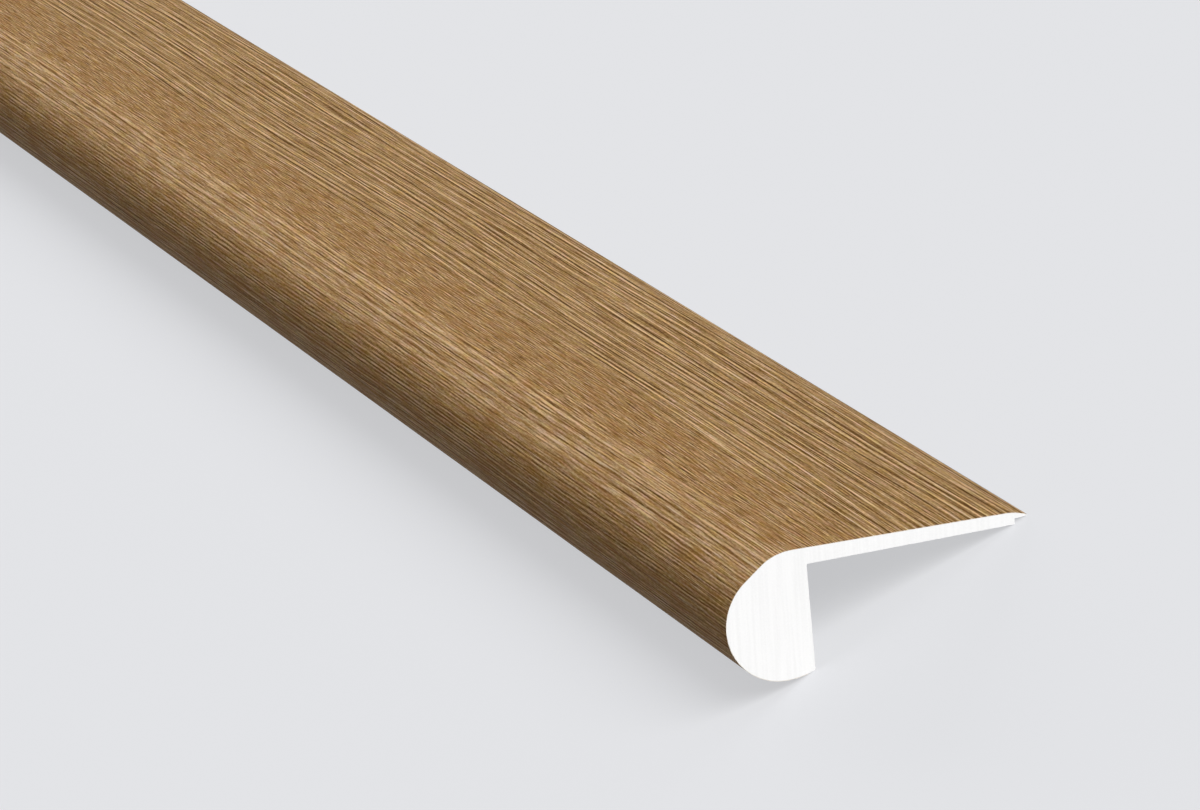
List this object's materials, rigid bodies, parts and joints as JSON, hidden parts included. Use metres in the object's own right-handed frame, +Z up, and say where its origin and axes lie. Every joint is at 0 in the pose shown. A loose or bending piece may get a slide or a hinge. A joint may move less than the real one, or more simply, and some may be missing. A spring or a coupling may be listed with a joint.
{
  "type": "flush stair nosing",
  "caption": "Flush stair nosing: extruded profile with bullnose leg, tapered tread flange and thin overlap lip, wrapped in wood-grain film; finishes the edge of a step.",
  "frame": {"origin": "centre of the footprint, on the floor that the stock lies on", "axes": "+X along the length, +Y across it from the bullnose to the overlap lip, +Z up; the profile leans back 26.2 degrees about X from the way it sits on a step"},
  "size_m": [2.388, 0.0774, 0.0299],
  "materials": {
    "core": "matt white, sawn ends",
    "wood_grain": "satin, embossed oak grain"
  },
  "bodies": {
    "root": {"core_profile": "core", "wood_grain_film": "wood_grain"}
  },
  "joints": []
}
